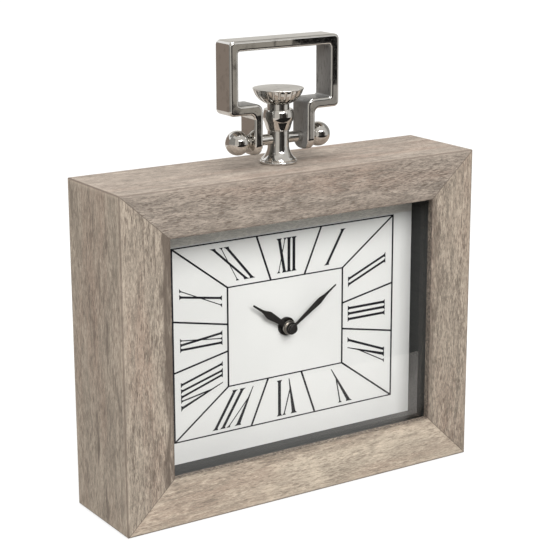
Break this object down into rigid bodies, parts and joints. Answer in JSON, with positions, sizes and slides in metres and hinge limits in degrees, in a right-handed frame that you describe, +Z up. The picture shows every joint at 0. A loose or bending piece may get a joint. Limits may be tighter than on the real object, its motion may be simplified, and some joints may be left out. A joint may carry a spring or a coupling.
{
  "type": "table clock",
  "caption": "Table clock: deep mitred wood case, rectangular dial behind glass, polished cast bail handle on a turned post, quartz movement reached from the back.",
  "frame": {"origin": "middle of the flat face that the case rests on", "axes": "+Z up, +X to the right as one reads the dial, +Y to the back"},
  "size_m": [0.27, 0.0688, 0.3],
  "materials": {
    "wood": "matte",
    "glass": "polished",
    "black_spacer": "satin",
    "card": "satin",
    "board": "matte",
    "back_board": "matte",
    "screw_steel": "satin",
    "cast_metal": "polished",
    "gasket": "matte",
    "shell": "satin",
    "nut": "satin",
    "cell": "satin",
    "contact": "satin",
    "board_green": "satin",
    "epoxy": "gloss",
    "resin": "satin",
    "copper": "satin",
    "lamination": "satin",
    "magnet": "satin",
    "tube": "polished",
    "hand": "satin"
  },
  "bodies": {
    "case": {"top_rail": "wood", "bottom_rail": "wood", "left_rail": "wood", "right_rail": "wood", "glass_pane": "glass", "spacer_top": "black_spacer", "spacer_bottom": "black_spacer", "spacer_left": "black_spacer", "spacer_right": "black_spacer", "dial_card": "card", "dial_board": "board", "retainer_top": "board", "retainer_bottom": "board", "retainer_left": "board", "retainer_right": "board", "back_panel": "back_board", "back_screws": "screw_steel", "handle_post": "cast_metal", "crown_knob": "cast_metal", "cross_pin": "cast_metal", "ball_nut_left": "cast_metal", "ball_nut_right": "cast_metal", "handle_screw": "screw_steel", "handle_washer": "screw_steel", "gasket": "gasket", "movement_case": "shell", "movement_cover": "shell", "fixing_nut": "nut", "battery": "cell", "contact_positive": "contact", "contact_negative": "contact", "circuit_board": "board_green", "chip": "epoxy", "crystal": "contact", "coil_bobbin": "resin", "coil_winding": "copper", "stator": "lamination"},
    "bail": {"bail_handle": "cast_metal"},
    "minute": {"minute_tube": "tube", "minute_hand": "hand", "minute_nut": "tube", "end_cap": "hand"},
    "hour": {"hour_wheel": "resin", "hour_collet": "tube", "hour_hand": "hand"},
    "motion": {"motion_wheel": "resin", "set_knob": "resin"},
    "fourth": {"fourth_wheel": "resin"},
    "third": {"third_wheel": "resin"},
    "centre": {"centre_wheel": "resin"},
    "fifth": {"fifth_wheel": "resin"},
    "rotor": {"rotor": "magnet"}
  },
  "joints": [
    {"name": "bail_swing", "type": "hinge", "parent": "case", "child": "bail", "pos_m": [0, 0, 0.2344], "axis": [1, 0, 0], "range_deg": [-100, 100]},
    {"name": "minute_turn", "type": "hinge", "parent": "case", "child": "minute", "pos_m": [0, 0, 0.11], "axis": [0, 1, 0], "continuous": true},
    {"name": "hour_turn", "type": "hinge", "parent": "case", "child": "hour", "pos_m": [0, 0, 0.11], "axis": [0, 1, 0], "continuous": true},
    {"name": "motion_turn", "type": "hinge", "parent": "case", "child": "motion", "pos_m": [0.01056, 0, 0.11], "axis": [0, 1, 0], "continuous": true},
    {"name": "fourth_turn", "type": "hinge", "parent": "case", "child": "fourth", "pos_m": [0, 0, 0.11], "axis": [0, 1, 0], "continuous": true},
    {"name": "third_turn", "type": "hinge", "parent": "case", "child": "third", "pos_m": [-0.0102, 0, 0.11], "axis": [0, 1, 0], "continuous": true},
    {"name": "centre_turn", "type": "hinge", "parent": "case", "child": "centre", "pos_m": [0, 0, 0.11], "axis": [0, 1, 0], "continuous": true},
    {"name": "fifth_turn", "type": "hinge", "parent": "case", "child": "fifth", "pos_m": [0, 0, 0.1204], "axis": [0, 1, 0], "continuous": true},
    {"name": "rotor_turn", "type": "hinge", "parent": "case", "child": "rotor", "pos_m": [0.00799, 0, 0.12331], "axis": [0, 1, 0], "continuous": true}
  ],
  "couplings": [
    {"joint": "motion_turn", "follows": "minute_turn", "ratio": -0.33333},
    {"joint": "hour_turn", "follows": "minute_turn", "ratio": 0.083333},
    {"joint": "third_turn", "follows": "fourth_turn", "ratio": -0.13333},
    {"joint": "centre_turn", "follows": "fourth_turn", "ratio": 0.016667},
    {"joint": "fifth_turn", "follows": "fourth_turn", "ratio": -4},
    {"joint": "rotor_turn", "follows": "fourth_turn", "ratio": 30}
  ]
}
